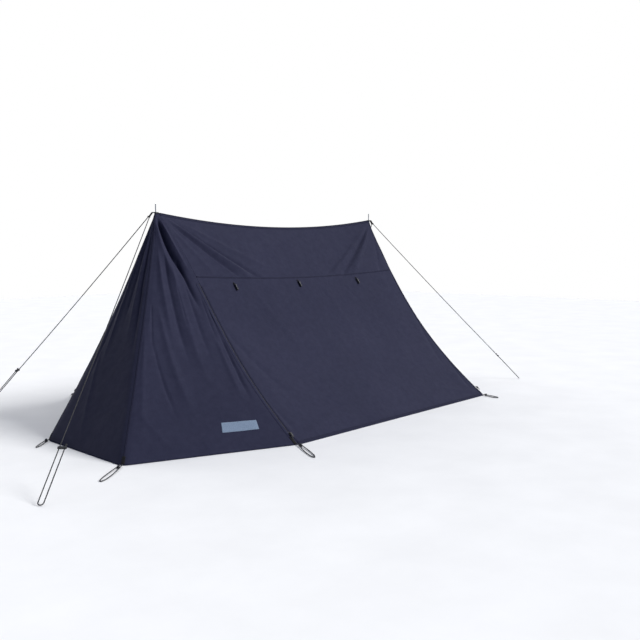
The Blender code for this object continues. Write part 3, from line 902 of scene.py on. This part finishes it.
def build_corner_tabs():
    """Webbing tabs that reach past the hem at each corner and carry the peg loops."""
    for side in ("left", "right"):
        bell, flap = BELL_FACE[side], FLAP_FACE[side]
        spots = {f"{bell}_door": (0.014, 0.965), f"{bell}_corner": (1.0, 0.972),
                 "end": (2.0, 0.972), f"{flap}_door": (2.992, 0.965)}
        for name, (phi_at, top) in spots.items():
            v = np.linspace(top, 0.9965, 14)
            points, normals = along_end(side, np.full_like(v, phi_at), v)
            tab = ribbon(f"{side}_{name}_tab", points, normals, *CORNER_TAB_SIZE,
                         MATS["webbing"], 0.0010)
            place(tab, "tent", "webbing")


# ---------------------------------------- guys and peg loops
def guy_route(name):
    """A guy's route: from the strap to the ground, round the peg, back past the tensioner."""
    peg, share = GUYS[name]
    outward = math.copysign(1, peg.x)
    top_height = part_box(f"{name.split('_')[0]}_peak_eyelet")[1][2] + 0.0003
    strap_end = Vector((outward * (POLE_X + STRAP_BEND + STRAP_FALL * math.cos(STRAP_LEAN)), 0,
                        top_height + 0.00125 - STRAP_FALL * math.sin(STRAP_LEAN)))
    top = strap_end + Vector((outward * 0.004, math.copysign(0.007, peg.y), -0.003))
    down = (peg - top).normalized()
    across = down.cross(Vector((0, 0, 1))).normalized() * STRAND_SPACING / 2
    centre = peg - down * STRAND_SPACING / 2
    main_end, back_end = centre + across, centre - across
    main_dir = (main_end - top).normalized()
    hold = top.lerp(main_end, share)
    route = []
    for i in range(14):
        point = top.lerp(hold, i / 14)
        point.z -= GUY_SAG * 4 * (i / 14) * (1 - i / 14)
        route.append(point)
    below = 5 if share > 0.8 else 10
    route += [hold.lerp(main_end, i / below) for i in range(below)]
    for i in range(9):
        angle = math.pi * i / 8
        route.append(centre + across * math.cos(angle)
                     + down * STRAND_SPACING / 2 * math.sin(angle))
    tail = back_end - main_dir * ((main_end - hold).length + GUY_TAIL)
    route += [back_end.lerp(tail, i / below) for i in range(1, below + 1)]
    return route, main_dir, tail


def build_guys():
    """The four guys, each with a knot at its strap and one at its tail."""
    for name in GUYS:
        route, direction, tail = guy_route(name)
        cord = rope(f"{name}_guy_cord", route, GUY_DIAMETER, MATS["guy"])
        start_knot = knot(f"{name}_start_knot", route[0], direction, GUY_KNOT, MATS["guy"])
        tail_knot = knot(f"{name}_tail_knot", tail, direction, GUY_KNOT, MATS["guy"])
        place(cord, "tent", "guy", f"{name}_guy")
        for piece in (start_knot, tail_knot):
            place(piece, "tent", "guy")


def peg_loop_route(corner, outward, length, half_width):
    """A loop of cord on the ground that leaves its corner and comes back to it."""
    outward = outward.normalized()
    beside = Vector((-outward.y, outward.x, 0))
    start = Vector((corner[0], corner[1], 0)) + outward * 0.006
    rest = LOOP_DIAMETER / 2 + 0.0003
    route = []
    for i in range(23):
        t = i / 22
        reach = length * math.sin(math.pi * t)
        across = -half_width * math.sin(2 * math.pi * t) + (t - 0.5) * LOOP_MOUTH
        lift = rest + 0.006 * (1 - math.sin(math.pi * t)) ** 3
        route.append(start + outward * reach + beside * across + Vector((0, 0, lift)))
    return route


def build_peg_loop(name, corner, outward, length, half_width):
    """One loop and the knot that ties its ends."""
    route = peg_loop_route(corner, outward, length, half_width)
    loop = rope(f"{name}_loop", route, LOOP_DIAMETER, MATS["loop"])
    place(loop, "tent", "peg_loop", f"{name}_peg_loop")
    tie = knot(f"{name}_loop_knot", (route[1] + route[-2]) / 2 + Vector((0, 0, 0.002)),
               outward, LOOP_KNOT, MATS["loop"])
    place(tie, "tent", "peg_loop")


def build_peg_loops():
    """A loop at every corner of the hem."""
    hem = np.array(1 - 0.0009 / RIDGE_HEIGHT)
    corners = {"door": door_edge(hem), "corner": corner_line(SHOULDER, hem),
               "end": corner_line((END_REACH, 0.0), hem)}
    for name, (which, outward, length, half_width) in PEG_LOOPS.items():
        turn = np.array((1 if "right" in name else -1, -1 if "back" in name else 1, 1))
        build_peg_loop(name, corners[which] * turn, outward, length, half_width)


# ---------------------------------------- toggles and hardware
TOGGLE_HALF_LENGTH = 0.024
TOGGLE_HALF_PROFILE = (             # radius, and distance in from a tip, tip to waist
    (0.0015, 0.0), (0.0050, 0.0004), (0.0074, 0.0022), (0.0084, 0.0055), (0.0080, 0.014),
    (0.0070, 0.018),
)
TOGGLE_WAIST = (0.0068, 0.0)


def toggle_profile():
    """(radius, height) from one tip of a toggle to the other."""
    first = [(radius, -TOGGLE_HALF_LENGTH + inset) for radius, inset in TOGGLE_HALF_PROFILE]
    second = [(radius, TOGGLE_HALF_LENGTH - inset) for radius, inset in TOGGLE_HALF_PROFILE]
    return [*first, TOGGLE_WAIST, *second[::-1]]


def build_toggles():
    """Smooth barrel toggles with a waist, in place of the faceted ones."""
    for face in ("front", "back"):
        for letter in "abc":
            name = f"{face}_toggle_{letter}"
            low, high = (Vector(c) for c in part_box(name))
            vertices = [v.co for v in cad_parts[name].data.vertices]
            top = max(vertices, key=lambda p: p.z)
            bottom = min(vertices, key=lambda p: p.z)
            forward = math.copysign(high.y - low.y - 0.010, bottom.y - top.y)
            lie = Vector((0, forward, -(high.z - low.z - 0.008))).normalized()
            toggle = turned(f"{face}_barrel_toggle_{letter}", toggle_profile(), (low + high) / 2,
                            lie, MATS["toggle"])
            place(toggle, name, "toggle", name)


NODE_MATERIALS = (
    ("strap", "webbing"), ("toggle_tab", "webbing"), ("tensioner", "plastic"), ("foot", "rubber"),
    ("eyelet", "eyelet"), ("slider", "slider"), ("pole", "steel"),
)


def finish_nodes():
    """Better materials on the CAD nodes that stay."""
    for name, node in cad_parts.items():
        for word, key in NODE_MATERIALS:
            if word in name:
                node.data.materials.clear()
                node.data.materials.append(MATS[key])
                break


# ---------------------------------------- stage
BRIGHT_SIDE = (0.75, 0.66, 0.10)    # the studio's pale backdrop, behind the tent
LIGHTS = {                          # direction towards each light, strength, spread in degrees
    "key": ((0.44, -0.66, 0.61), 2.9, 24),
    "fill": ((0.35, 0.75, 0.55), 0.9, 60),
}
FLOOR_HALF_SIZE = 14
FLOOR_LEVEL = -0.001
CAMERA_LENS = 45.96
CAMERA_SHIFT = (-0.0042, 0.0070)
CAMERA_PLACE = (-4.871, -4.780, 1.250)
CAMERA_YAW, CAMERA_PITCH, CAMERA_ROLL = (math.radians(a) for a in (-48.735, 5.423, -0.082))


def build_floor():
    """Pale floor just under the hems."""
    corners = [(x * FLOOR_HALF_SIZE, y * FLOOR_HALF_SIZE, FLOOR_LEVEL)
               for x, y in ((-1, -1), (1, -1), (1, 1), (-1, 1))]
    floor = add_mesh("floor", corners, [(0, 1, 2, 3)], MATS["floor"], smooth_shading=False)


def build_backdrop():
    """World light that is pale on the bright side and dim blue on the other, seen as white."""
    world = bpy.data.worlds.new("studio")
    bpy.context.scene.world = world
    world.use_nodes = True
    tree = world.node_tree
    background = tree.nodes["Background"]
    background.inputs["Strength"].default_value = 1.0
    direction = tree.nodes.new("ShaderNodeTexCoord")
    towards = tree.nodes.new("ShaderNodeVectorMath")
    towards.operation = "DOT_PRODUCT"
    towards.inputs[1].default_value = BRIGHT_SIDE
    tree.links.new(direction.outputs["Generated"], towards.inputs[0])
    ramp = tree.nodes.new("ShaderNodeValToRGB")
    ramp.color_ramp.interpolation = "EASE"
    dim, bright = ramp.color_ramp.elements
    dim.position, dim.color = 0.00, (0.04, 0.07, 0.16, 1)
    bright.position, bright.color = 0.42, (1.0, 1.0, 1.0, 1)
    tree.links.new(towards.outputs["Value"], ramp.inputs["Fac"])
    seen = tree.nodes.new("ShaderNodeLightPath")
    sky = tree.nodes.new("ShaderNodeMix")
    sky.data_type = "RGBA"
    sky.inputs[7].default_value = (1.0, 1.0, 1.0, 1)
    tree.links.new(seen.outputs["Is Camera Ray"], sky.inputs[0])
    tree.links.new(ramp.outputs["Color"], sky.inputs[6])
    tree.links.new(sky.outputs[2], background.inputs["Color"])


def build_lights():
    """Two soft suns."""
    for name, (towards_light, strength, spread) in LIGHTS.items():
        sun = bpy.data.lights.new(name, "SUN")
        sun.energy = strength
        sun.angle = math.radians(spread)
        obj = bpy.data.objects.new(name, sun)
        obj.rotation_euler = (-Vector(towards_light)).to_track_quat("-Z", "Y").to_euler()
        bpy.context.scene.collection.objects.link(obj)


def build_camera():
    """Camera at the photograph's viewing angle."""
    data = bpy.data.cameras.new("camera")
    data.sensor_width = 36
    data.lens = CAMERA_LENS
    data.shift_x, data.shift_y = CAMERA_SHIFT
    camera = bpy.data.objects.new("camera", data)
    level = Matrix.Rotation(CAMERA_YAW, 4, "Z")
    turn = level @ Matrix.Rotation(math.pi / 2 - CAMERA_PITCH, 4, "X")
    camera.matrix_world = (Matrix.Translation(CAMERA_PLACE) @ turn
                           @ Matrix.Rotation(CAMERA_ROLL, 4, "Z"))
    bpy.context.scene.collection.objects.link(camera)
    bpy.context.scene.camera = camera
    bpy.context.scene.view_settings.view_transform = "Standard"


build_camera()
build_guys()
build_peg_loops()
sheets = {face: build_side(face) for face in ("front", "back")}
ends = {side: build_end(side) for side in ("left", "right")}
for face in ("front", "back"):
    build_side_trim(face)
for side in ("left", "right"):
    build_end_trim(side)
build_ridge_tape()
build_corner_tabs()
build_patch()
build_toggles()
finish_nodes()
build_floor()
build_backdrop()
build_lights()

bpy.context.view_layer.update()
